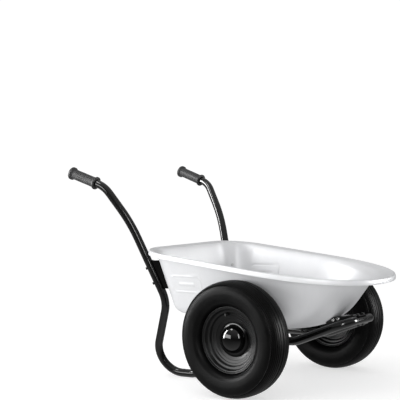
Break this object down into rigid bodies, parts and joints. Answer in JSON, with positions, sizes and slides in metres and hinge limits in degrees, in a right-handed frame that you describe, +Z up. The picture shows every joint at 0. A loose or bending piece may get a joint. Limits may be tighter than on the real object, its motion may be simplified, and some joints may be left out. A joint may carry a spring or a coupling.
{
  "type": "two-wheeled wheelbarrow",
  "caption": "Two-wheeled garden barrow: a deep-drawn steel tub on a bent-tube frame with legs, grips and two pneumatic wheels, for carrying loose loads.",
  "frame": {"origin": "on the ground, in the middle of the object's bounding box", "axes": "+X forwards towards the tub's nose, +Y to the barrow's left, +Z up"},
  "size_m": [1.1566, 0.778, 0.7988],
  "materials": {
    "galvanised_steel": "light silver-grey satin coat on deep-drawn steel sheet",
    "gloss_black_paint": "gloss black paint on bent tube and plate",
    "zinc_plate": "bright zinc plate on steel",
    "tyre_rubber": "satin black moulded rubber with fine ribs around the tread",
    "satin_black_rim": "satin black paint on pressed steel",
    "black_rubber": "matt black moulded rubber",
    "bush_plastic": "off-white plain plastic",
    "gloss_black_cap": "polished black plastic"
  },
  "bodies": {
    "frame": {"axle": "zinc_plate", "axle_bracket_front_bolt_left": "zinc_plate", "axle_bracket_front_bolt_right": "zinc_plate", "axle_bracket_left": "gloss_black_paint", "axle_bracket_rear_bolt_left": "zinc_plate", "axle_bracket_rear_bolt_right": "zinc_plate", "axle_bracket_right": "gloss_black_paint", "axle_collar_left": "zinc_plate", "axle_collar_right": "zinc_plate", "axle_nut_left": "zinc_plate", "axle_nut_right": "zinc_plate", "axle_washer_left": "zinc_plate", "axle_washer_right": "zinc_plate", "cross_brace": "gloss_black_paint", "cross_brace_bolt_left": "zinc_plate", "cross_brace_bolt_right": "zinc_plate", "floor_stud_left": "zinc_plate", "floor_stud_right": "zinc_plate", "front_loop": "gloss_black_paint", "front_support": "gloss_black_paint", "front_support_bolt_left": "zinc_plate", "front_support_bolt_right": "zinc_plate", "front_support_tray_bolt_left": "zinc_plate", "front_support_tray_bolt_right": "zinc_plate", "grip_left": "black_rubber", "grip_right": "black_rubber", "rear_bracket_left": "gloss_black_paint", "rear_bracket_lower_bolt_left": "zinc_plate", "rear_bracket_lower_bolt_right": "zinc_plate", "rear_bracket_right": "gloss_black_paint", "rear_bracket_tray_bolt_left": "zinc_plate", "rear_bracket_tray_bolt_right": "zinc_plate", "rear_bracket_upper_bolt_left": "zinc_plate", "rear_bracket_upper_bolt_right": "zinc_plate", "side_tube_left": "gloss_black_paint", "side_tube_right": "gloss_black_paint", "tray": "galvanised_steel"},
    "left_wheel": {"bush_inner_left": "bush_plastic", "bush_outer_left": "bush_plastic", "hub_cap_left": "gloss_black_cap", "hub_sleeve_left": "zinc_plate", "inner_tube_left": "black_rubber", "rim_inner_left": "satin_black_rim", "rim_outer_left": "satin_black_rim", "tyre_left": "tyre_rubber", "valve_stem_left": "black_rubber"},
    "right_wheel": {"bush_inner_right": "bush_plastic", "bush_outer_right": "bush_plastic", "hub_cap_right": "gloss_black_cap", "hub_sleeve_right": "zinc_plate", "inner_tube_right": "black_rubber", "rim_inner_right": "satin_black_rim", "rim_outer_right": "satin_black_rim", "tyre_right": "tyre_rubber", "valve_stem_right": "black_rubber"}
  },
  "joints": [
    {"name": "left_wheel_spin", "type": "hinge", "parent": "frame", "child": "left_wheel", "pos_m": [0.1788, 0.329, 0.2], "axis": [0, 1, 0], "continuous": true},
    {"name": "right_wheel_spin", "type": "hinge", "parent": "frame", "child": "right_wheel", "pos_m": [0.1788, -0.329, 0.2], "axis": [0, 1, 0], "continuous": true}
  ]
}
